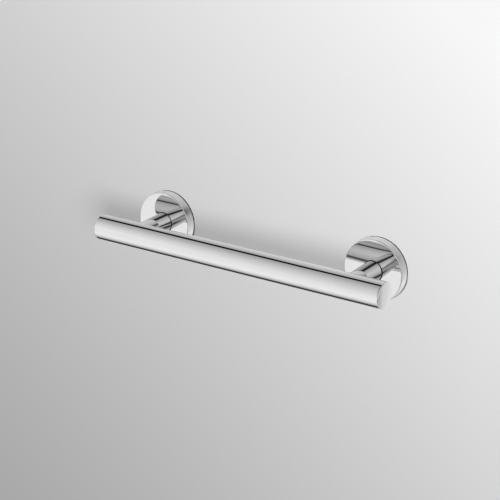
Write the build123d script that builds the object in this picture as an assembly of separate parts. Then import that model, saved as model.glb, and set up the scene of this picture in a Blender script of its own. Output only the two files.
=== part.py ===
from build123d import *
import os

# A wall-mounted grab bar: a straight round rail on two tapered posts, each with a round cover flange.
# X runs along the rail, +Y points into the wall and +Z is up. The origin lies on the wall, midway
# between the posts and level with the rail. Lengths are in millimetres.

# Rail
rail_diameter = 31.75
rail_wall = 2.0
rail_standoff = 74.3
rail_overhang = 50.8
post_spacing = 304.8

# End caps
cap_lip = 3.0
cap_crown = 0.4
cap_edge_radius = 0.8
cap_plug_length = 12.0
cap_plug_wall = 2.5
cap_lead_in = 0.8

# Posts
post_base_diameter = 25.4
post_neck_diameter = 21.0
post_recess_wall = 3.65
spigot_diameter = 14.0

# Cover flanges
cover_diameter = 76.2
cover_face_thickness = 3.5
cover_crown = 0.65
cover_skirt_wall = 3.0
cover_room = 3.3
cover_edge_radius = 0.7
cover_bore_edge = 0.15

# Rubber rings in the cover bores, and gaskets against the wall
ring_section = 1.6
gasket_thickness = 2.2
gasket_inset = 0.1

# Mounting plates
plate_thickness = 6.0
boss_web = 4.4
screw_count = 3
screw_edge_margin = 8.6
screw_hole_diameter = 6.5
screw_head_diameter = 12.4

# Post bolts, their lock washers and the nuts inside the rail
bolt_diameter = 8.0
bolt_head_diameter = 13.0
bolt_head_height = 5.0
bolt_head_recess = 0.6
bolt_socket_width = 5.0
bolt_socket_depth = 3.0
bolt_tip_chamfer = 1.0
bolt_tip_gap = 1.5
washer_thickness = 2.0
washer_slit = 0.8
nut_length = 32.0
nut_edge_chamfer = 1.0

# Set screws that hold the covers on the plates
set_screw_diameter = 4.0
set_screw_tip_diameter = 1.2
set_screw_recess = 0.4
set_screw_entry = 0.6
set_screw_socket_width = 2.0
set_screw_socket_depth = 1.6

# Clearances, each on the radius or along one direction
slip = 0.05
spigot_end_gap = 0.15
recess_end_gap = 0.2
bolt_hole_gap = 0.3
counterbore_gap = 0.4
cover_bore_gap = 0.75
plate_gap = 1.1
groove_gap = 0.2

# Worked out from the sizes above: radii, then heights above the wall
rail_radius = rail_diameter / 2
rail_bore_radius = rail_radius - rail_wall
plug_radius = rail_bore_radius - slip
post_radius = post_base_diameter / 2
boss_radius = post_radius - post_recess_wall - slip
cover_radius = cover_diameter / 2
plate_radius = cover_radius - cover_skirt_wall - plate_gap
groove_depth = set_screw_entry + set_screw_tip_diameter / 2 + groove_gap
screw_circle_radius = plate_radius - screw_edge_margin
bolt_hole_radius = bolt_diameter / 2 + bolt_hole_gap
counterbore_radius = bolt_head_diameter / 2 + counterbore_gap

plate_middle = gasket_thickness + plate_thickness / 2
plate_front = gasket_thickness + plate_thickness
cover_inside = plate_front + cover_room
cover_front = cover_inside + cover_face_thickness
ring_height = (cover_inside + cover_front) / 2
head_face = gasket_thickness + bolt_head_recess
head_seat = head_face + bolt_head_height
washer_seat = head_seat + washer_thickness
boss_top = washer_seat + boss_web
rail_back = rail_standoff - rail_radius
bolt_tip = rail_standoff + rail_bore_radius - bolt_tip_gap

sides = {"left": -1, "right": 1}


def on_wall(side):
    """Where one post stands: its local Z leaves the wall and its local Y is up."""
    return Plane(origin=(side * post_spacing / 2, 0, 0), x_dir=(1, 0, 0), z_dir=(0, -1, 0))


def facing_out(side, solid):
    """Puts a piece on the wall so that what it has towards +X points away from the other post."""
    return on_wall(side) * Rot(0, 0, 0 if side > 0 else 180) * solid


def turned(*outline):
    """A solid turned about local Z from the (radius, height) corners of half its section."""
    return revolve(Plane.XZ * make_face(Polyline(*outline, close=True)), Axis.Z)


def crowned(solid, radius, top, crown):
    """Turns a piece's flat top into a shallow dome that has fallen by its crown at the given radius."""
    dome_radius = (radius**2 + crown**2) / (2 * crown)
    return solid & Pos(0, 0, top - dome_radius) * Sphere(dome_radius)


def front_edge(solid):
    """The outer edge of a turned piece's front."""
    circles = solid.edges().filter_by(GeomType.CIRCLE).filter_by(Plane.XY)
    return circles.group_by(SortBy.RADIUS)[-1].sort_by(Axis.Z)[-1]


def rod(radius, bottom, top):
    """A round bar about local Z between two heights."""
    return Pos(0, 0, bottom) * extrude(Circle(radius), top - bottom)


def ring(outer_radius, inner_radius, bottom, top):
    """A plain ring or tube about local Z between two heights."""
    return rod(outer_radius, bottom, top) - rod(inner_radius, bottom, top)


def hexagon(width, bottom, top):
    """A hexagonal prism about local Z, measured across its flats."""
    outline = RegularPolygon(width / 2, 6, major_radius=False)
    return Pos(0, 0, bottom) * extrude(outline, top - bottom)


def cross_bar(radius, length):
    """A round bar along the rail's own line, seen from the post that it is centred on."""
    return Pos(0, 0, rail_standoff) * Rot(0, 90, 0) * Cylinder(radius, length)


# The rail and what is inside it


def make_rail_tube():
    """The grip: a straight tube with one hole in its back for each post's spigot."""
    length = post_spacing + 2 * (rail_overhang - cap_lip)
    tube = Cylinder(rail_radius, length) - Cylinder(rail_bore_radius, length)
    tube = Pos(0, -rail_standoff, 0) * Rot(0, 90, 0) * tube
    for side in sides.values():
        tube -= on_wall(side) * rod(spigot_diameter / 2 + slip, rail_back - slip, rail_standoff)
    return tube


def make_end_cap(side):
    """A turned cap with a slightly domed face, a softened edge and a hollow plug in the tube's end."""
    plug_bore = plug_radius - cap_plug_wall
    plug_end = -cap_lip - cap_plug_length
    cap = turned(
        (0, 0),
        (rail_radius, 0),
        (rail_radius, -cap_lip),
        (plug_radius, -cap_lip),
        (plug_radius, plug_end + cap_lead_in),
        (plug_radius - cap_lead_in, plug_end),
        (plug_bore, plug_end),
        (plug_bore, -cap_lip),
        (0, -cap_lip),
    )
    cap = crowned(cap, rail_radius, 0, cap_crown)
    cap = fillet(front_edge(cap), cap_edge_radius)
    rail_end = side * (post_spacing / 2 + rail_overhang)
    return Plane(origin=(rail_end, -rail_standoff, 0), z_dir=(side, 0, 0)) * cap


def make_rail_nut(side):
    """A round nut that lies in the tube and takes the post bolt through its middle."""
    nut = cross_bar(plug_radius, nut_length)
    nut = chamfer(nut.edges().filter_by(GeomType.CIRCLE), nut_edge_chamfer)
    nut -= rod(bolt_diameter / 2 + slip, rail_back, rail_standoff + rail_radius)
    return on_wall(side) * nut


# The posts and their bolts


def make_post(side):
    """A turned post: straight through the cover, then tapering to a saddle that seats on the rail.

    A recess in its foot sits over the plate's boss, and a spigot in the saddle enters the tube.
    """
    neck_radius = post_neck_diameter / 2
    taper = (post_radius - neck_radius) / (rail_back - cover_front)
    recess_radius = boss_radius + slip
    recess_top = boss_top + recess_end_gap
    post = turned(
        (recess_radius, plate_front),
        (post_radius, plate_front),
        (post_radius, cover_front),
        (neck_radius - taper * rail_radius, rail_standoff),
        (bolt_hole_radius, rail_standoff),
        (bolt_hole_radius, recess_top),
        (recess_radius, recess_top),
    )
    post -= cross_bar(rail_radius + slip, 2 * post_base_diameter)
    spigot_end = rail_standoff - plug_radius - spigot_end_gap
    post += ring(spigot_diameter / 2, bolt_hole_radius, recess_top, spigot_end)
    return on_wall(side) * post


def make_post_bolt(side):
    """A low-headed socket screw from the plate's back, through the post, into the nut in the rail."""
    shank = rod(bolt_diameter / 2, head_seat, bolt_tip)
    shank = chamfer(shank.edges().filter_by(GeomType.CIRCLE).group_by(Axis.Z)[-1], bolt_tip_chamfer)
    bolt = shank + rod(bolt_head_diameter / 2, head_face, head_seat)
    bolt -= hexagon(bolt_socket_width, head_face, head_face + bolt_socket_depth)
    return on_wall(side) * bolt


def make_lock_washer(side):
    """A split spring washer, as wide as the bolt's head that it lies under."""
    washer = ring(bolt_head_diameter / 2, bolt_diameter / 2 + slip, head_seat, washer_seat)
    slit = Box(washer_slit, bolt_head_diameter, 4 * washer_thickness)
    return on_wall(side) * (washer - Pos(0, bolt_head_diameter / 2, washer_seat) * slit)


# What is fixed to the wall, and the cover over it


def make_mounting_plate(side):
    """A turned plate with countersunk screw holes, a boss that locates the post and a grooved rim."""
    plate = turned(
        (counterbore_radius, gasket_thickness),
        (plate_radius, gasket_thickness),
        (plate_radius, plate_middle - groove_depth),
        (plate_radius - groove_depth, plate_middle),
        (plate_radius, plate_middle + groove_depth),
        (plate_radius, plate_front),
        (boss_radius, plate_front),
        (boss_radius, boss_top),
        (bolt_hole_radius, boss_top),
        (bolt_hole_radius, washer_seat),
        (counterbore_radius, washer_seat),
    )
    hole_radius = screw_hole_diameter / 2
    head_radius = screw_head_diameter / 2
    countersunk_hole = turned(
        (0, 0),
        (hole_radius, 0),
        (hole_radius, plate_front - head_radius + hole_radius),
        (head_radius, plate_front),
        (0, plate_front),
    )
    for place in PolarLocations(screw_circle_radius, screw_count):
        plate -= place * countersunk_hole
    return facing_out(side, plate)


def make_wall_gasket(side):
    """A soft disc behind the plate and the cover's edge, with the plate's screw holes in it."""
    gasket = rod(cover_radius - gasket_inset, 0, gasket_thickness)
    gasket -= rod(counterbore_radius + counterbore_gap, 0, gasket_thickness)
    for place in PolarLocations(screw_circle_radius, screw_count):
        gasket -= place * rod(screw_hole_diameter / 2, 0, gasket_thickness)
    return facing_out(side, gasket)


def make_cover_flange(side):
    """A turned cup with a slightly domed face, slid down the post over the plate onto the gasket."""
    inner = cover_radius - cover_skirt_wall
    bore = post_radius + cover_bore_gap
    ring_room = ring_section / 2 + slip
    ring_groove = post_radius + ring_section + 2 * slip
    cover = turned(
        (inner, gasket_thickness),
        (cover_radius, gasket_thickness),
        (cover_radius, cover_front),
        (bore + cover_bore_edge, cover_front),
        (bore, cover_front - cover_bore_edge),
        (bore, ring_height + ring_room),
        (ring_groove, ring_height + ring_room),
        (ring_groove, ring_height - ring_room),
        (bore, ring_height - ring_room),
        (bore, cover_inside),
        (inner, cover_inside),
    )
    cover = crowned(cover, cover_radius, cover_front, cover_crown)
    cover = fillet(front_edge(cover), cover_edge_radius)
    screw_hole = Cylinder(set_screw_diameter / 2 + slip, 4 * cover_skirt_wall)
    cover -= Pos(0, -cover_radius, plate_middle) * Rot(90, 0, 0) * screw_hole
    return on_wall(side) * cover


def make_cover_ring(side):
    """The rubber ring that centres the cover on the post and shows dark in the gap between them."""
    section_radius = ring_section / 2
    rubber = Torus(post_radius + slip + section_radius, section_radius)
    return on_wall(side) * Pos(0, 0, ring_height) * rubber


def make_cover_set_screw(side):
    """A socket set screw up through the cover's skirt, with its point in the plate's groove."""
    radius = set_screw_diameter / 2
    tip_radius = set_screw_tip_diameter / 2
    foot = set_screw_recess - cover_radius
    length = set_screw_entry - plate_radius - foot
    screw = turned(
        (0, 0),
        (radius, 0),
        (radius, length - radius + tip_radius),
        (tip_radius, length),
        (0, length),
    )
    screw -= hexagon(set_screw_socket_width, 0, set_screw_socket_depth)
    return on_wall(side) * Pos(0, foot, plate_middle) * Rot(-90, 0, 0) * screw


paired_pieces = {
    "end_cap": make_end_cap,
    "rail_nut": make_rail_nut,
    "post": make_post,
    "post_bolt": make_post_bolt,
    "lock_washer": make_lock_washer,
    "mounting_plate": make_mounting_plate,
    "wall_gasket": make_wall_gasket,
    "cover_flange": make_cover_flange,
    "cover_ring": make_cover_ring,
    "cover_set_screw": make_cover_set_screw,
}

os.makedirs("parts", exist_ok=True)
export_step(make_rail_tube(), "parts/rail_tube.step")
for name, make in paired_pieces.items():
    for side_name, side in sides.items():
        export_step(make(side), f"parts/{name}_{side_name}.step")
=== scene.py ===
from math import cos, pi, radians, sin, sqrt, tan

import bmesh
import bpy
from mathutils import Matrix, Vector


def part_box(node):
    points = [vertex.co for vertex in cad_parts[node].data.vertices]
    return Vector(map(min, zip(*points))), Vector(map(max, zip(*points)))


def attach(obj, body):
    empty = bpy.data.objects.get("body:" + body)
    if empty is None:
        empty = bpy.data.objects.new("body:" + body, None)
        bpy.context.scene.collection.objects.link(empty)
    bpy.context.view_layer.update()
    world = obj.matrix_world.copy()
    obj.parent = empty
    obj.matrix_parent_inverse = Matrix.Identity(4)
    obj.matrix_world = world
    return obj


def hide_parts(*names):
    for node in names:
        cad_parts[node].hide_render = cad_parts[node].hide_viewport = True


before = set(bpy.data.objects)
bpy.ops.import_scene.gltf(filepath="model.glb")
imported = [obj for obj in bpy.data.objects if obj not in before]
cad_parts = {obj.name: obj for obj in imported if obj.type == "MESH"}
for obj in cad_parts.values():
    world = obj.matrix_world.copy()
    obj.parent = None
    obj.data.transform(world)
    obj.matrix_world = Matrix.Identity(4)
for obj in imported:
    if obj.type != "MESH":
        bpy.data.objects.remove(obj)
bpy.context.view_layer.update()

print("frame loaded:", len(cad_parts), "CAD nodes")
scene = bpy.context.scene
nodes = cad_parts
sides = {"left": -1, "right": 1}


# small helpers for node trees

def setSocket(tree, socket, value):
    if isinstance(value, bpy.types.NodeSocket):
        tree.links.new(value, socket)
    else:
        socket.default_value = value


def addNode(tree, kind, inputs=None, **settings):
    node = tree.nodes.new(kind)
    for name, value in settings.items():
        setattr(node, name, value)
    for name, value in (inputs or {}).items():
        setSocket(tree, node.inputs[name], value)
    return node


def calc(tree, operation, first, second=0.0, third=0.0, clamp=False):
    inputs = {0: first, 1: second, 2: third}
    return addNode(tree, "ShaderNodeMath", inputs, operation=operation, use_clamp=clamp).outputs[0]


def times(tree, first, second):
    return calc(tree, "MULTIPLY", first, second)


def mapRange(tree, value, fromMin, fromMax, toMin=0.0, toMax=1.0, kind="SMOOTHSTEP"):
    inputs = {"Value": value, "From Min": fromMin, "From Max": fromMax, "To Min": toMin, "To Max": toMax}
    return addNode(tree, "ShaderNodeMapRange", inputs, interpolation_type=kind).outputs["Result"]


def clampTo(tree, value, least, most):
    return addNode(tree, "ShaderNodeClamp", {"Value": value, "Min": least, "Max": most}).outputs[0]


def mixColor(tree, factor, first, second, blend="MIX"):
    node = addNode(tree, "ShaderNodeMix", data_type="RGBA", blend_type=blend)
    for number, value in ((0, factor), (6, first), (7, second)):      # the colour sockets of a Mix node
        setSocket(tree, node.inputs[number], value)
    return node.outputs[2]


def dim(tree, color, level):
    return mixColor(tree, 1.0, color, level, "MULTIPLY")


def distanceTo(tree, vector, place):
    node = addNode(tree, "ShaderNodeVectorMath", {0: vector, 1: place}, operation="DISTANCE")
    return node.outputs["Value"]


def grey(level):
    return (level, level, level, 1.0)


def ramp(tree, value, stops):
    node = addNode(tree, "ShaderNodeValToRGB", {"Fac": value})
    elements = node.color_ramp.elements
    while len(elements) > 1:
        elements.remove(elements[-1])
    for number, (place, level) in enumerate(stops):
        element = elements[0] if number == 0 else elements.new(place)
        element.position = place
        element.color = grey(level)
    return node.outputs["Color"]


# camera

photoCamera = {
    "lens": 104.9,
    "sensor": 36.0,
    "nearest": 0.01,
    "distance": 1.79221,
    "aim": (-0.02959, 0.0, -0.01585),
    "azimuth": 34.65,         # from straight in front of the wall towards the rail's right end
    "elevation": 19.41,
    "roll": 0.44,
}


def makeCamera(look):
    data = bpy.data.cameras.new("photoCamera")
    data.lens = look["lens"]
    data.sensor_width = look["sensor"]
    data.clip_start = look["nearest"]
    az, el, roll = (radians(look[key]) for key in ("azimuth", "elevation", "roll"))
    back = Vector((sin(az) * cos(el), -cos(az) * cos(el), sin(el)))
    right = (-back).cross(Vector((0, 0, 1))).normalized()
    up = right.cross(-back)
    right, up = cos(roll) * right + sin(roll) * up, cos(roll) * up - sin(roll) * right
    camera = bpy.data.objects.new("photoCamera", data)
    place = Matrix((right, up, back)).transposed().to_4x4()
    place.translation = Vector(look["aim"]) + look["distance"] * back
    camera.matrix_world = place
    scene.collection.objects.link(camera)
    scene.camera = camera


makeCamera(photoCamera)
print("camera placed")


# light: a soft lamp from the right, a wide one in front, and the studio that the chrome mirrors

keyLamp = {
    "towards": (0.61, -0.77, 0.10),
    "distance": 4.0,
    "size": (1.94, 1.92),
    "power": 79.0,
    "shadow": True,
}
frontLamp = {
    "towards": (0.10, -0.97, 0.22),
    "distance": 3.2,
    "size": (4.0, 4.0),
    "power": 77.0,
    "shadow": False,
}
studio = {
    "fill": 0.03,             # what lights the dull surfaces besides the lamps
    "background": 0.84,
    # brightness round the rail's axis, by the angle from straight up: + is the wall's side, - the room's
    "alongRail": [
        (-180, .24), (-176, .44), (-168, .66), (-160, .755), (-152, .87), (-144, .99), (-136, 1.03),
        (-120, 1.0), (-104, .962), (-88, .945), (-72, .87), (-56, .79), (-40, .70), (-24, .60),
        (-12, .50), (0, .46), (20, .46), (32, .52), (44, .60), (56, .67), (72, .73), (90, .75),
        (106, .71), (120, .655), (136, .57), (145, .49), (151, .39), (156, .24), (162, .12), (170, .07),
        (176, .12), (180, .24),
    ],
    # brightness round the posts' axis in front of the wall, by the angle from straight up towards the right
    "room": [
        (-180, .64), (-100, .80), (-66, .54), (-48, .51), (-36, .42), (-26, .28), (-19, .11), (-13, .02),
        (-6, .0), (0, .02), (6, .16), (12, .38), (17, .53), (23, .60), (36, .68), (48, .78), (60, .84),
        (70, .82), (78, .79), (90, .70), (102, .58), (108, .51), (114, .33), (119, .15), (124, .05),
        (130, .02), (135, .06), (141, .19), (147, .34), (154, .47), (160, .53), (180, .64),
    ],
    # the same behind the wall's plane, where the covers' rims look
    "backdrop": [
        (-180, .80), (-160, .75), (-100, .86), (-84, .78), (-60, .74), (-40, .75), (-24, .71), (0, .69),
        (12, .62), (24, .57), (40, .54), (60, .53), (72, .53), (84, .56), (96, .62), (108, .70),
        (120, .80), (132, .88), (144, .96), (160, .92), (180, .80),
    ],
    # what is left after a third mirroring, round the rail's axis
    "deepest": [
        (-180, .33), (-160, .42), (-130, .55), (-60, .70), (-20, .72), (-5, .68), (8, .57), (20, .45),
        (32, .34), (44, .28), (52, .27), (65, .33), (80, .43), (95, .55), (108, .60), (120, .59),
        (135, .51), (150, .42), (165, .36), (180, .33),
    ],
    "deepestFrom": (0.0, 0.1),              # where it takes over, towards the right
    "deepestRight": (0.58, 0.70, 0.25),     # from where to where, and how far, it dims further right
    # a pair says over which x, y or z of the direction one part gives way to another
    "backdropFrom": (-0.05, 0.25),
    "backdropDeep": (0.77, 0.81, 0.94),     # it starts a little dimmer than it is deeper in
    # how its lower right darkens and clears again, by depth behind the wall
    "lowSide": [(0, 1), (.757, 1), (.764, .50), (.78, .73), (.80, .90), (.82, .93), (.85, 1.02), (1, 1.02)],
    "lowSideBelow": (0.0, -0.3),
    "lowSideRight": (0.25, 0.4),
    "leftward": -0.85,        # how what is over the rail gains light towards the left in front of the wall
    "rightward": 1.1,         # and towards the right behind it
    "slopeMiddle": -0.54,
    "slopeTurns": (-0.1, 0.2),
    "slopeAbove": (-0.15, 0.1),
    "behindAgain": (0.2, 0.5, 0.06),        # where, and by how much, a second mirroring dims it
    "railSide": (-0.39, -0.45),             # left of this the rail's own surroundings show
    "postFront": (-0.3, -0.5),              # in a second mirroring the room shows here instead
    "postLeft": (-0.74, -0.82),
    "faceFront": (-0.79, -0.83),            # the covers' faces look here, past the railSide
    "faceBelow": (0.0, -0.15),
    "faceSide": (-0.30, -0.36),
    # the dark seam between the backdrop and the room, and the dark spot at its right
    "seamDepth": 0.235,
    "seamTilt": -0.06,
    "seamAgain": 0.04,
    "seamLeft": (-0.66, -0.495),
    "seamLeftMiddle": -0.535,
    "seamLeftLift": -1.2,
    "seamWidth": (0.03, 0.12),
    "seamWidthAlongRail": (0.105, 0.155),
    "spotPlace": (0.64, 0.55, 0.43),
    "spotWidth": (0.08, 0.38),
    "spotLevel": 0.12,
    "darkest": 0.015,
    "twiceMirrored": 0.10,    # what a second mirroring lifts the darkest parts by
    "liftPower": 4.0,
}


def makeLamp(name, look):
    data = bpy.data.lights.new(name, "AREA")
    data.shape = "ELLIPSE"
    data.size, data.size_y = look["size"]
    data.energy = look["power"]
    data.use_shadow = look["shadow"]
    # a lamp without shadow needs this off, or the bar stops some of its light
    data.cycles.use_multiple_importance_sampling = look["shadow"]
    lamp = bpy.data.objects.new(name, data)
    away = Vector(look["towards"]).normalized()
    lamp.location = away * look["distance"]
    lamp.rotation_euler = away.to_track_quat("Z", "Y").to_euler()
    lamp.visible_glossy = False
    scene.collection.objects.link(lamp)


def angleRamp(tree, angle, stops):
    place = calc(tree, "MULTIPLY_ADD", angle, 1 / (2 * pi), 0.5)
    return ramp(tree, place, [(degrees / 360 + 0.5, level) for degrees, level in stops])


# behind the wall's plane: dimmer at the lower right and close to the wall
def makeBackdrop(tree, look, x, y, z, aroundPost):
    color = angleRamp(tree, aroundPost, look["backdrop"])
    low = times(tree, mapRange(tree, z, *look["lowSideBelow"]), mapRange(tree, x, *look["lowSideRight"]))
    color = dim(tree, color, mixColor(tree, low, grey(1.0), ramp(tree, y, look["lowSide"])))
    start, stop, level = look["backdropDeep"]
    return dim(tree, color, mapRange(tree, y, start, stop, toMin=level))


# over the rail: brighter towards the left in front, towards the right behind
def makeRailSurroundings(tree, look, x, y, z, aroundRail, second):
    slope = mapRange(tree, y, *look["slopeTurns"], toMin=look["leftward"], toMax=look["rightward"])
    slope = times(tree, slope, mapRange(tree, z, *look["slopeAbove"]))
    slope = calc(tree, "MULTIPLY_ADD", calc(tree, "SUBTRACT", x, look["slopeMiddle"]), slope, 1.0)
    start, stop, loss = look["behindAgain"]
    again = times(tree, second, mapRange(tree, y, start, stop))
    slope = times(tree, slope, calc(tree, "MULTIPLY_ADD", again, -loss, 1.0))
    return dim(tree, angleRamp(tree, aroundRail, look["alongRail"]), slope)


# 1 where the rail's surroundings show, 0 where the room and the backdrop do
def chooseSide(tree, look, x, y, z, railSide, second):
    again = times(tree, second, mapRange(tree, y, *look["postFront"]))
    away = calc(tree, "SUBTRACT", mapRange(tree, x, *look["postLeft"]), 1.0)
    side = times(tree, railSide, calc(tree, "MULTIPLY_ADD", again, away, 1.0))
    face = times(tree, mapRange(tree, y, *look["faceFront"]), mapRange(tree, z, *look["faceBelow"]))
    return calc(tree, "MAXIMUM", side, times(tree, mapRange(tree, x, *look["faceSide"]), face))


# 1 away from the dark seam and the dark spot
def clearOfSeam(tree, look, direction, x, y, z, railSide, secondOnRail):
    left = calc(tree, "SUBTRACT", clampTo(tree, x, *look["seamLeft"]), look["seamLeftMiddle"])
    lift = times(tree, times(tree, left, look["seamLeftLift"]), calc(tree, "MAXIMUM", z, 0.0))
    lift = calc(tree, "MULTIPLY_ADD", secondOnRail, look["seamAgain"], lift)
    seam = calc(tree, "ADD", calc(tree, "MULTIPLY_ADD", z, look["seamTilt"], look["seamDepth"]), lift)
    away = calc(tree, "ABSOLUTE", calc(tree, "SUBTRACT", y, seam))
    narrow = mapRange(tree, away, *look["seamWidth"])
    wide = mapRange(tree, away, *look["seamWidthAlongRail"])
    clear = addNode(tree, "ShaderNodeMix", {0: railSide, 2: narrow, 3: wide}).outputs[0]
    spot = distanceTo(tree, direction, look["spotPlace"])
    return times(tree, clear, mapRange(tree, spot, *look["spotWidth"], toMin=look["spotLevel"]))


def makeWorld(look):
    world = bpy.data.worlds.new("studio")
    scene.world = world
    world.use_nodes = True
    tree = world.node_tree
    tree.nodes.clear()
    direction = addNode(tree, "ShaderNodeTexCoord").outputs["Generated"]
    direction = addNode(tree, "ShaderNodeVectorMath", {0: direction}, operation="NORMALIZE").outputs[0]
    axes = addNode(tree, "ShaderNodeSeparateXYZ", {0: direction}).outputs
    x, y, z = axes["X"], axes["Y"], axes["Z"]
    aroundRail, aroundPost = calc(tree, "ARCTAN2", y, z), calc(tree, "ARCTAN2", x, z)
    path = addNode(tree, "ShaderNodeLightPath").outputs
    second, third = (calc(tree, "GREATER_THAN", path["Glossy Depth"], count) for count in (1.5, 2.5))
    railSide = mapRange(tree, x, *look["railSide"])
    secondOnRail = times(tree, second, railSide)

    room = angleRamp(tree, aroundPost, look["room"])
    backdrop = makeBackdrop(tree, look, x, y, z, aroundPost)
    beside = mixColor(tree, mapRange(tree, y, *look["backdropFrom"]), room, backdrop)
    overRail = makeRailSurroundings(tree, look, x, y, z, aroundRail, second)
    shown = mixColor(tree, chooseSide(tree, look, x, y, z, railSide, second), beside, overRail)
    clear = clearOfSeam(tree, look, direction, x, y, z, railSide, secondOnRail)
    mirrored = dim(tree, shown, calc(tree, "MULTIPLY_ADD", clear, 1.0 - look["darkest"], look["darkest"]))

    # a second mirroring lifts the darkest parts, and a third has its own round
    dark = calc(tree, "POWER", calc(tree, "SUBTRACT", 1.0, mirrored, clamp=True), look["liftPower"])
    lift = times(tree, dark, times(tree, secondOnRail, look["twiceMirrored"]))
    mirrored = calc(tree, "ADD", mirrored, lift)
    start, stop, level = look["deepestRight"]
    deepest = angleRamp(tree, aroundRail, look["deepest"])
    deepest = dim(tree, deepest, mapRange(tree, x, start, stop, toMin=1.0, toMax=level))
    deep = times(tree, third, mapRange(tree, x, *look["deepestFrom"]))
    mirrored = mixColor(tree, deep, mirrored, deepest)

    inMirror = calc(tree, "SUBTRACT", path["Is Glossy Ray"], path["Diffuse Depth"], clamp=True)
    light = mixColor(tree, inMirror, grey(look["fill"]), mirrored)
    light = mixColor(tree, path["Is Camera Ray"], light, grey(look["background"]))
    background = addNode(tree, "ShaderNodeBackground", {"Color": light, "Strength": 1.0}).outputs[0]
    addNode(tree, "ShaderNodeOutputWorld", {"Surface": background})


makeLamp("keyLamp", keyLamp)
makeLamp("frontLamp", frontLamp)
makeWorld(studio)
scene.view_settings.view_transform = "Standard"
print("lamps and world made")


# the wall, which is only a stage: painted in front, with painted light and shade, and clear from behind

wallStage = {
    "halfSize": 3.0,
    "behind": 0.0002,         # the gaskets' backs lie in the wall's plane
    # painted light and shade over the wall, lighter towards the upper right: middle, per metre right and
    # up, and how that grows
    "paintedLightAndShade": {
        "middle": 0.715, "right": 0.230, "up": 0.423,
        "rightRight": 0.131, "rightUp": 0.192, "upUp": 0.187,
    },
    "range": (0.20, 0.93),
    "farRight": (0.6, 2.2, 0.45),      # from where to where, and how far, painted shade dims the wall next to the lamp
    "coverPlace": 0.1524,
    # the soft line of shade under each cover's edge
    "shade": {"inner": 0.0379, "outer": 0.0397, "depth": 0.85, "height": (0.004, -0.016)},
}


def makeWallPaintedLightAndShade(look):
    material = bpy.data.materials.new("wallPaintedLightAndShade")
    material.use_nodes = True
    tree = material.node_tree
    tree.nodes.clear()
    place = addNode(tree, "ShaderNodeTexCoord").outputs["Object"]
    axes = addNode(tree, "ShaderNodeSeparateXYZ", {0: place}).outputs
    x, z, amount, shade = axes["X"], axes["Z"], look["paintedLightAndShade"], look["shade"]
    # painted light and shade: the wall's colour is lighter towards the upper right and darker towards the
    # lower left
    across = calc(tree, "MULTIPLY_ADD", z, amount["rightUp"], amount["right"])
    across = calc(tree, "MULTIPLY_ADD", x, amount["rightRight"], across)
    upward = calc(tree, "MULTIPLY_ADD", z, amount["upUp"], amount["up"])
    level = calc(tree, "MULTIPLY_ADD", z, upward, amount["middle"])
    level = clampTo(tree, calc(tree, "MULTIPLY_ADD", x, across, level), *look["range"])
    # painted shade: the colour dims towards the right, where the lamp lights the wall more
    start, stop, least = look["farRight"]
    level = times(tree, level, mapRange(tree, x, start, stop, toMin=1.0, toMax=least))
    gaps = [distanceTo(tree, place, (side * look["coverPlace"], 0, 0)) for side in sides.values()]
    gap = calc(tree, "MINIMUM", *gaps)
    close = mapRange(tree, gap, shade["outer"], shade["inner"], toMax=shade["depth"])
    close = times(tree, close, mapRange(tree, z, *shade["height"]))
    level = times(tree, level, calc(tree, "SUBTRACT", 1.0, close))
    paintedLightAndShade = addNode(tree, "ShaderNodeBsdfDiffuse", {"Color": level}).outputs[0]
    clear = addNode(tree, "ShaderNodeBsdfTransparent").outputs[0]
    behind = addNode(tree, "ShaderNodeNewGeometry").outputs["Backfacing"]
    surface = addNode(tree, "ShaderNodeMixShader", {0: behind, 1: paintedLightAndShade, 2: clear}).outputs[0]
    addNode(tree, "ShaderNodeOutputMaterial", {"Surface": surface})
    return material


def makeWall(look):
    half, back = look["halfSize"], look["behind"]
    mesh = bpy.data.meshes.new("wall")
    corners = [(-half, back, -half), (half, back, -half), (half, back, half), (-half, back, half)]
    mesh.from_pydata(corners, [], [(0, 1, 2, 3)])      # faces the room, -Y
    mesh.materials.append(makeWallPaintedLightAndShade(look))
    wall = bpy.data.objects.new("wall", mesh)
    scene.collection.objects.link(wall)
    wall.visible_glossy = False


makeWall(wallStage)
print("wall made")


# materials

haze = {"detail": 4.0, "roughness": 0.6, "range": (0.35, 0.7)}
finishes = {
    "chrome": {"light": (.80, .80, .80), "dull": (.78, .78, .78),
               "scale": 35.0, "smooth": 0.01, "rough": 0.025, "metallic": 1.0},
    "plate_steel": {"light": (.58, .58, .57), "dull": (.46, .46, .45),
                    "scale": 90.0, "smooth": 0.28, "rough": 0.42, "metallic": 1.0},
    "bolt_steel": {"light": (.50, .49, .47), "dull": (.38, .37, .36),
                   "scale": 120.0, "smooth": 0.25, "rough": 0.40, "metallic": 1.0},
    "nut_brass": {"light": (.62, .47, .24), "dull": (.50, .36, .18),
                  "scale": 110.0, "smooth": 0.25, "rough": 0.42, "metallic": 1.0},
    "black_rubber": {"light": (.018, .018, .018), "dull": (.03, .03, .03),
                     "scale": 160.0, "smooth": 0.55, "rough": 0.75, "metallic": 0.0},
}
nodeFinishes = {      # the rest are chrome
    "mounting_plate": "plate_steel",
    "post_bolt": "bolt_steel",
    "lock_washer": "bolt_steel",
    "cover_set_screw": "bolt_steel",
    "rail_nut": "nut_brass",
    "wall_gasket": "black_rubber",
    "cover_ring": "black_rubber",
}


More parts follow.
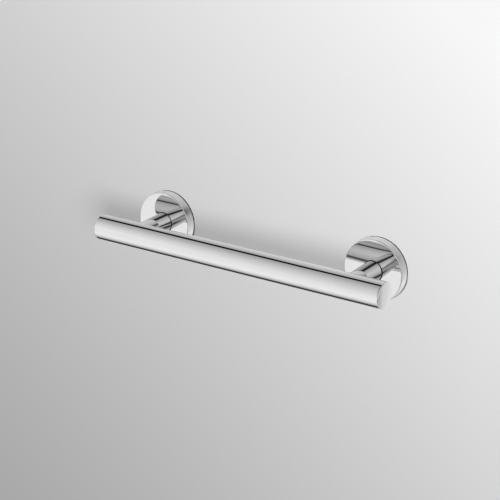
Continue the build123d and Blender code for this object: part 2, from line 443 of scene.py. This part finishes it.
# fine polishing haze, or the grain of rubber
def makeHaze(look):
    tree = bpy.data.node_groups.new("haze", "ShaderNodeTree")
    for label in ("Scale", "Low", "High"):
        tree.interface.new_socket(label, in_out="INPUT", socket_type="NodeSocketFloat")
    for label in ("Light", "Dull"):
        tree.interface.new_socket(label, in_out="INPUT", socket_type="NodeSocketColor")
    for label, kind in (("Color", "Color"), ("Roughness", "Float")):
        tree.interface.new_socket(label, in_out="OUTPUT", socket_type="NodeSocket" + kind)
    given = addNode(tree, "NodeGroupInput").outputs
    place = addNode(tree, "ShaderNodeTexCoord").outputs["Object"]
    grain = {"Scale": given["Scale"], "Detail": look["detail"], "Roughness": look["roughness"]}
    noise = addNode(tree, "ShaderNodeTexNoise", {"Vector": place, **grain}).outputs["Fac"]
    share = mapRange(tree, noise, *look["range"])
    rough = mapRange(tree, share, 0.0, 1.0, toMin=given["Low"], toMax=given["High"], kind="LINEAR")
    color = mixColor(tree, share, given["Light"], given["Dull"])
    addNode(tree, "NodeGroupOutput", {"Color": color, "Roughness": rough})
    return tree


def makeMaterial(name, look, hazeGroup):
    material = bpy.data.materials.new(name)
    material.use_nodes = True
    tree = material.node_tree
    shader = tree.nodes["Principled BSDF"]
    inputs = {"Scale": look["scale"], "Low": look["smooth"], "High": look["rough"],
              "Light": (*look["light"], 1.0), "Dull": (*look["dull"], 1.0)}
    group = addNode(tree, "ShaderNodeGroup", node_tree=hazeGroup)
    for label, value in inputs.items():
        group.inputs[label].default_value = value
    tree.links.new(group.outputs["Color"], shader.inputs["Base Color"])
    tree.links.new(group.outputs["Roughness"], shader.inputs["Roughness"])
    shader.inputs["Metallic"].default_value = look["metallic"]
    return material


hazeGroup = makeHaze(haze)
materials = {name: makeMaterial(name, look, hazeGroup) for name, look in finishes.items()}
for name, node in nodes.items():
    node.data.materials.clear()
    node.data.materials.append(materials[nodeFinishes.get(name.rsplit("_", 1)[0], "chrome")])
print("materials made")


# turned pieces: Geometry Nodes sweep a profile round its axis and cut round bars out of the result

turning = {"pathRadius": 0.01, "segments": 256, "edgeAngle": 28.0, "weld": 0.000002, "filletSteps": 10}
cutting = {"spigotSides": 128, "noSpigot": (0.001, 0.001)}


def makeTree(name, sockets):
    tree = bpy.data.node_groups.new(name, "GeometryNodeTree")
    for label, kind in (*sockets, ("Edge Angle", "Float"), ("Material", "Material")):
        tree.interface.new_socket(label, in_out="INPUT", socket_type="NodeSocket" + kind)
    tree.interface.new_socket("Piece", in_out="OUTPUT", socket_type="NodeSocketGeometry")
    return tree, addNode(tree, "NodeGroupInput").outputs


# smooth shading with sharp edges, one plain mesh and its material
def endTree(tree, given, geometry):
    smooth = {"Geometry": geometry, "Shade Smooth": True}
    geometry = addNode(tree, "GeometryNodeSetShadeSmooth", smooth).outputs[0]
    angle = addNode(tree, "GeometryNodeInputMeshEdgeAngle").outputs["Unsigned Angle"]
    sharp = addNode(tree, "FunctionNodeCompare", {"A": angle, "B": given["Edge Angle"]},
                    data_type="FLOAT", operation="GREATER_THAN").outputs[0]
    creased = {"Geometry": geometry, "Selection": sharp, "Shade Smooth": False}
    geometry = addNode(tree, "GeometryNodeSetShadeSmooth", creased, domain="EDGE").outputs[0]
    geometry = addNode(tree, "GeometryNodeRealizeInstances", {"Geometry": geometry}).outputs[0]
    painted = {"Geometry": geometry, "Material": given["Material"]}
    geometry = addNode(tree, "GeometryNodeSetMaterial", painted).outputs[0]
    addNode(tree, "NodeGroupOutput", {"Piece": geometry})
    return tree


def makeTurningTree():
    tree, given = makeTree("turnedPiece", (
        ("Profile", "Geometry"), ("Path Radius", "Float"), ("Segments", "Int"), ("Weld", "Float")))
    profile = addNode(tree, "GeometryNodeMeshToCurve", {"Mesh": given["Profile"]}).outputs[0]
    path = {"Resolution": given["Segments"], "Radius": given["Path Radius"]}
    circle = addNode(tree, "GeometryNodeCurvePrimitiveCircle", path).outputs[0]
    swept = addNode(tree, "GeometryNodeCurveToMesh", {"Curve": circle, "Profile Curve": profile}).outputs[0]
    doubles = {"Geometry": swept, "Distance": given["Weld"]}
    return endTree(tree, given, addNode(tree, "GeometryNodeMergeByDistance", doubles).outputs[0])


# takes a round bar out of a piece, less a spigot about Z that stays
def makeCuttingTree():
    tree, given = makeTree("roundCut", (
        ("Piece", "Geometry"), ("Radius", "Float"), ("Length", "Float"), ("Centre", "Vector"),
        ("Tilt", "Vector"), ("Sides", "Int"), ("Leave Spigot", "Bool"), ("Spigot Sides", "Int"),
        ("Spigot Radius", "Float"), ("Spigot End", "Float")))

    def cylinder(sides, radius, depth):
        inputs = {"Vertices": given[sides], "Radius": given[radius], "Depth": given[depth]}
        return addNode(tree, "GeometryNodeMeshCylinder", inputs).outputs["Mesh"]

    def placed(geometry, **inputs):
        return addNode(tree, "GeometryNodeTransform", {"Geometry": geometry, **inputs}).outputs[0]

    def without(first, second):
        return addNode(tree, "GeometryNodeMeshBoolean", {"Mesh 1": first, "Mesh 2": second},
                       operation="DIFFERENCE", solver="EXACT").outputs["Mesh"]

    tilt = addNode(tree, "FunctionNodeEulerToRotation", {0: given["Tilt"]}).outputs[0]
    bar = placed(cylinder("Sides", "Radius", "Length"), Translation=given["Centre"], Rotation=tilt)
    middle = addNode(tree, "ShaderNodeCombineXYZ", {"Z": times(tree, given["Spigot End"], 0.5)}).outputs[0]
    spigot = placed(cylinder("Spigot Sides", "Spigot Radius", "Spigot End"), Translation=middle)
    choice = {"Switch": given["Leave Spigot"], "False": bar, "True": without(bar, spigot)}
    cutter = addNode(tree, "GeometryNodeSwitch", choice, input_type="GEOMETRY").outputs[0]
    return endTree(tree, given, without(given["Piece"], cutter))


turnedPiece = makeTurningTree()
roundCut = makeCuttingTree()


def runTree(piece, tree, values):
    values = {**values, "Edge Angle": radians(turning["edgeAngle"]), "Material": materials["chrome"]}
    modifier = piece.modifiers.new(tree.name, "NODES")
    modifier.node_group = tree
    for item in tree.interface.items_tree:
        if item.item_type == "SOCKET" and item.in_out == "INPUT" and item.name in values:
            modifier[item.identifier] = values[item.name]
    graph = bpy.context.evaluated_depsgraph_get()
    graph.update()
    mesh = bpy.data.meshes.new_from_object(piece.evaluated_get(graph))
    piece.modifiers.remove(modifier)
    mesh.name = piece.name
    piece.data = mesh


# corners are (radius, height) or (radius, height, fillet)
def roundedProfile(corners):
    points = []
    count, steps = len(corners), turning["filletSteps"]
    for number, corner in enumerate(corners):
        here = Vector(corner[:2])
        if len(corner) == 2:
            points.append(here)
            continue
        before = (Vector(corners[number - 1][:2]) - here).normalized()
        after = (Vector(corners[(number + 1) % count][:2]) - here).normalized()
        half, fillet = before.angle(after) / 2, corner[2]
        middle = here + (before + after).normalized() * fillet / sin(half)
        first = here + before * fillet / tan(half) - middle
        last = here + after * fillet / tan(half) - middle
        sweep = first.angle_signed(last)
        points += [middle + Matrix.Rotation(-sweep * step / steps, 2) @ first for step in range(steps + 1)]
    return points


def faceOut(mesh):
    shape = bmesh.new()
    shape.from_mesh(mesh)
    bmesh.ops.recalc_face_normals(shape, faces=shape.faces)
    if shape.calc_volume(signed=True) < 0:
        bmesh.ops.reverse_faces(shape, faces=shape.faces)
    shape.to_mesh(mesh)
    shape.free()


# a solid turned about local Z, from its profile's corners in metres
def turn(name, corners, closed=True, segments=turning["segments"]):
    points = roundedProfile(corners)
    reach = turning["pathRadius"]
    mesh = bpy.data.meshes.new(name)
    edges = [(at, at + 1) for at in range(len(points) - 1)] + ([(len(points) - 1, 0)] if closed else [])
    mesh.from_pydata([(p.x - reach, -p.y, 0) for p in points], edges, [])
    piece = bpy.data.objects.new(name, mesh)
    scene.collection.objects.link(piece)
    runTree(piece, turnedPiece, {"Path Radius": reach, "Segments": segments, "Weld": turning["weld"]})
    faceOut(piece.data)
    return piece


def cut(piece, radius, length, centre, tilt, sides, spigot=None):
    spigotRadius, spigotEnd = spigot or cutting["noSpigot"]
    runTree(piece, roundCut, {
        "Radius": radius, "Length": length, "Centre": centre, "Tilt": tilt, "Sides": sides,
        "Leave Spigot": bool(spigot), "Spigot Sides": cutting["spigotSides"],
        "Spigot Radius": spigotRadius, "Spigot End": spigotEnd})


# a post's own axes: Z leaves the wall and Y is up
def onWall(side):
    return Matrix(((1, 0, 0, side * postX), (0, 0, -1, 0), (0, 1, 0, 0), (0, 0, 0, 1)))


# Z runs out along the rail and Y stays level, towards the wall
def alongX(side, start):
    return Matrix(((0, 0, side, start), (0, 1, 0, -standoff), (-side, 0, 0, 0), (0, 0, 0, 1)))


# points over a slightly crowned face, from its outer edge inwards
def crowned(outer, inner, edgeHeight, middleHeight, steps):
    crown = middleHeight - edgeHeight
    bow = (outer * outer + crown * crown) / (2 * crown)
    radii = [outer + (inner - outer) * step / steps for step in range(steps + 1)]
    return [(r, edgeHeight + sqrt(bow * bow - r * r) - (bow - crown)) for r in radii]


def dress(piece, place, node):
    piece.data.transform(place)
    faceOut(piece.data)
    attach(piece, "root")
    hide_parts(node)


coverLow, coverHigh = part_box("cover_flange_right")
tubeLow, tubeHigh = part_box("rail_tube")
capLow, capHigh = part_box("end_cap_right")
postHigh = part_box("post_right")[1]
postX = (coverLow.x + coverHigh.x) / 2
standoff = -(tubeLow.y + tubeHigh.y) / 2
railRadius = (tubeHigh.z - tubeLow.z) / 2


# the covers over the plates on the wall

cover = {
    "radius": (coverHigh.z - coverLow.z) / 2,
    "back": -coverHigh.y,
    "front": 0.015,           # where the crown would peak
    "inside": 0.0115,
    "edgeRadius": 0.0007,
    "crown": 0.00065,
    "faceSteps": 14,
    "skirtWall": 0.003,
    "boreRadius": 0.01345,
    "boreEdge": 0.00015,
    "groove": (0.0144, 0.0124, 0.0141),    # radius, bottom and top of the ring's groove
    "screwHole": 0.00205,
    "screwHeight": 0.0052,
    "screwHoleLength": 0.02,
    "screwHoleSides": 48,
}


def makeCover(name, side):
    c = cover
    bore, inner, inside = c["boreRadius"], c["radius"] - c["skirtWall"], c["inside"]
    groove, grooveLow, grooveHigh = c["groove"]
    edge, front = c["front"] - c["crown"], c["front"]
    face = crowned(c["radius"], bore + c["boreEdge"] / 2, edge, front, c["faceSteps"])
    corners = [(inner, c["back"]), (c["radius"], c["back"]), (*face[0], c["edgeRadius"])] + face[1:]
    corners += [(bore, face[-1][1] - c["boreEdge"] / 2), (bore, grooveHigh), (groove, grooveHigh)]
    corners += [(groove, grooveLow), (bore, grooveLow), (bore, inside), (inner, inside)]
    piece = turn(f"cover_{name}", corners)
    below = (0, -c["radius"], c["screwHeight"])
    cut(piece, c["screwHole"], c["screwHoleLength"], below, (pi / 2, 0, 0), c["screwHoleSides"])
    piece.visible_shadow = False      # the photo's wall is lit right up to the covers
    dress(piece, onWall(side), f"cover_flange_{name}")


# the tapered posts, with a saddle and a spigot for the rail

post = {
    "baseRadius": 0.0127,
    "neckRadius": 0.0105,
    "foot": -postHigh.y,
    "taperSteps": 12,
    "recess": (0.00905, 0.0144),           # radius and top of the hollow in the foot
    "boltHole": 0.0043,
    "spigot": (0.007, 0.060325),           # radius and end of what enters the rail
    "slip": 0.00005,
    "saddleLength": 0.06,
    "saddleSides": 288,
}


def makePost(name, side):
    p = post
    recess, recessTop = p["recess"]
    foot, steps = cover["front"], p["taperSteps"]
    back = standoff - railRadius
    taper = (p["baseRadius"] - p["neckRadius"]) / (back - foot)
    rise = [foot + (standoff - foot) * step / steps for step in range(1, steps + 1)]
    corners = [(recess, p["foot"]), (p["baseRadius"], p["foot"]), (p["baseRadius"], foot)]
    corners += [(p["neckRadius"] + taper * (back - height), height) for height in rise]
    corners += [(p["boltHole"], standoff), (p["boltHole"], recessTop), (recess, recessTop)]
    piece = turn(f"post_piece_{name}", corners)
    middle, saddle = (0, 0, standoff), railRadius + p["slip"]
    cut(piece, saddle, p["saddleLength"], middle, (0, pi / 2, 0), p["saddleSides"], p["spigot"])
    dress(piece, onWall(side), f"post_{name}")


# the rail, with a hole for each spigot

rail = {
    "wall": 0.002,
    "segments": 288,
    "steps": 8,
    "holeRadius": 0.00705,
    "holeReach": 0.006,       # takes a hole's cutter out past the tube's wall
    "holeSides": 96,
}


def makeRail():
    r, half, steps, reach = railRadius, tubeHigh.x, rail["steps"], rail["holeReach"]
    length = standoff - post["spigot"][1]
    outside = [(r, -half + 2 * half * step / steps) for step in range(steps + 1)]
    inner = r - rail["wall"]
    piece = turn("rail", [(inner, -half)] + outside + [(inner, half)], segments=rail["segments"])
    for side in sides.values():
        middle = (0, length / 2 + reach, side * postX)
        cut(piece, rail["holeRadius"], length + reach, middle, (pi / 2, 0, 0), rail["holeSides"])
    dress(piece, alongX(1, 0.0), "rail_tube")


# the end caps, each with a plug inside the rail

cap = {
    "edgeRadius": 0.0008,
    "crown": 0.0004,
    "faceSteps": 12,
    "plugRadius": 0.013825,
    "plugWall": 0.0025,
    "leadIn": 0.0008,
}


def makeCap(name, side):
    c = cap
    r, lip, end = railRadius, tubeHigh.x - capHigh.x, capLow.x - capHigh.x
    plug, bore, leadIn = c["plugRadius"], c["plugRadius"] - c["plugWall"], c["leadIn"]
    face = crowned(r, 0.0, -c["crown"], 0.0, c["faceSteps"])
    corners = face[:0:-1] + [(*face[0], c["edgeRadius"]), (r, lip), (plug, lip), (plug, end + leadIn)]
    corners += [(plug - leadIn, end), (bore, end), (bore, lip), (0.0, lip)]
    piece = turn(f"cap_{name}", corners, closed=False, segments=rail["segments"])
    dress(piece, alongX(side, side * capHigh.x), f"end_cap_{name}")


makeRail()
for name, side in sides.items():
    makeCover(name, side)
    makePost(name, side)
    makeCap(name, side)
print("turned pieces made")
